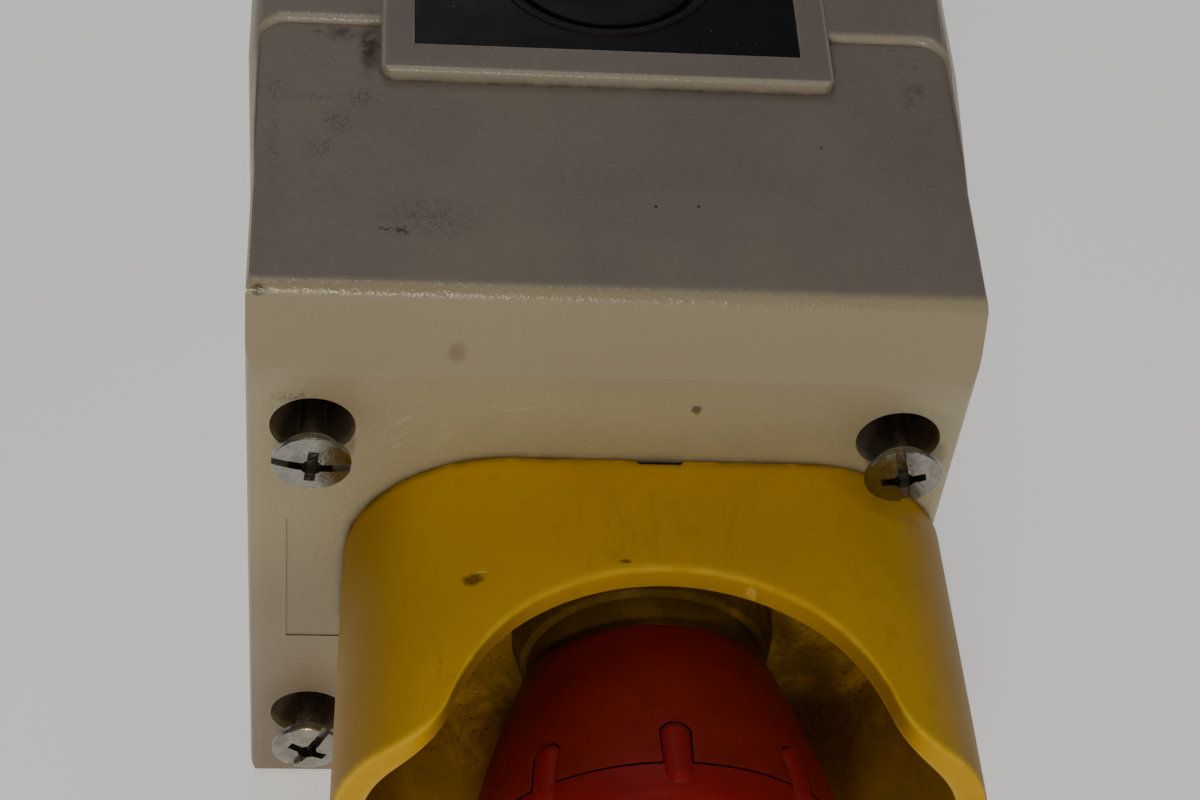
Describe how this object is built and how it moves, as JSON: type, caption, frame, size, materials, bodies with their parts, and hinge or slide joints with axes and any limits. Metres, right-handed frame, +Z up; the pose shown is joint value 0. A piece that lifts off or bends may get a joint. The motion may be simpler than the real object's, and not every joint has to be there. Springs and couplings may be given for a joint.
{
  "type": "emergency stop control station",
  "caption": "Surface-mounted control box with a guarded red mushroom emergency stop button, captive cover screws and a knock-out cable entry on top.",
  "frame": {"origin": "centre of the rear face, which sits on the wall", "axes": "+Z up, the button faces -Y, +Y points into the wall"},
  "size_m": [0.0774, 0.1163, 0.0847],
  "materials": {
    "beige_plastic": "textured, worn",
    "black_plastic": "satin, dusty",
    "rubber": "matt",
    "brass": "machined",
    "screw_zinc": "zinc plated, dulled",
    "yellow_plastic": "satin, soiled",
    "bezel_plastic": "satin, soiled",
    "steel": "plain",
    "white_plastic": "satin",
    "red_dark": "matt, worn",
    "red_bright": "semi-gloss, worn",
    "block_plastic": "satin",
    "contact_copper": "plain"
  },
  "bodies": {
    "base": {"base_box": "beige_plastic", "entry_plate": "black_plastic", "cover_gasket": "rubber", "threaded_inserts": "brass"},
    "cover": {"cover": "beige_plastic", "screw_seals": "rubber", "guard": "yellow_plastic", "guard_gasket": "rubber", "operator_gasket": "rubber", "operator_barrel": "black_plastic", "bezel": "bezel_plastic", "lock_washer": "steel", "ring_nut": "black_plastic", "return_spring": "steel", "stem_seal": "rubber", "seal_retainer": "black_plastic", "latch_pins": "steel", "latch_clip": "steel", "contact_holder": "black_plastic", "nc_housing": "block_plastic", "nc_spring": "steel", "nc_contacts": "contact_copper", "nc_terminal_screws": "screw_zinc", "no_housing": "block_plastic", "no_spring": "steel", "no_contacts": "contact_copper", "no_terminal_screws": "screw_zinc"},
    "stem": {"stem": "white_plastic", "stem_circlip": "steel", "actuator_plate": "white_plastic", "head_screw": "steel"},
    "head": {"head_skirt": "red_dark", "head_cap": "red_bright", "twist_spring": "steel"},
    "nc_plunger_body": {"nc_plunger": "white_plastic", "nc_bridge": "contact_copper"},
    "no_plunger_body": {"no_plunger": "white_plastic", "no_bridge": "contact_copper"},
    "screw_upper_left_body": {"screw_upper_left": "screw_zinc"},
    "screw_upper_right_body": {"screw_upper_right": "screw_zinc"},
    "screw_lower_left_body": {"screw_lower_left": "screw_zinc"},
    "screw_lower_right_body": {"screw_lower_right": "screw_zinc"}
  },
  "joints": [
    {"name": "cover_off", "type": "slide", "parent": "base", "child": "cover", "axis": [0, -1, 0], "range_m": [0, 0.06]},
    {"name": "button_press", "type": "slide", "parent": "cover", "child": "stem", "axis": [0, 1, 0], "range_m": [0, 0.0044], "stiffness_N_per_m": 4000, "springref_m": -0.003, "deforming": ["return_spring"]},
    {"name": "head_twist", "type": "hinge", "parent": "stem", "child": "head", "pos_m": [0.0058, -0.1, -0.0021], "axis": [0, 1, 0], "range_deg": [0, 45], "stiffness_Nm_per_rad": 0.08},
    {"name": "nc_plunger_slide", "type": "slide", "parent": "cover", "child": "nc_plunger_body", "axis": [0, 1, 0], "range_m": [0, 0.0044], "deforming": ["nc_spring"]},
    {"name": "no_plunger_slide", "type": "slide", "parent": "cover", "child": "no_plunger_body", "axis": [0, 1, 0], "range_m": [0, 0.0044], "deforming": ["no_spring"]},
    {"name": "upper_left_screw_drive", "type": "slide", "parent": "cover", "child": "screw_upper_left_body", "axis": [0, 1, 0], "range_m": [0, 0.0092]},
    {"name": "upper_right_screw_drive", "type": "slide", "parent": "cover", "child": "screw_upper_right_body", "axis": [0, 1, 0], "range_m": [0, 0.0092]},
    {"name": "lower_left_screw_drive", "type": "slide", "parent": "cover", "child": "screw_lower_left_body", "axis": [0, 1, 0], "range_m": [0, 0.0092]},
    {"name": "lower_right_screw_drive", "type": "slide", "parent": "cover", "child": "screw_lower_right_body", "axis": [0, 1, 0], "range_m": [0, 0.0092]}
  ],
  "couplings": [
    {"joint": "nc_plunger_slide", "follows": "button_press", "ratio": 1},
    {"joint": "no_plunger_slide", "follows": "button_press", "ratio": 1}
  ]
}
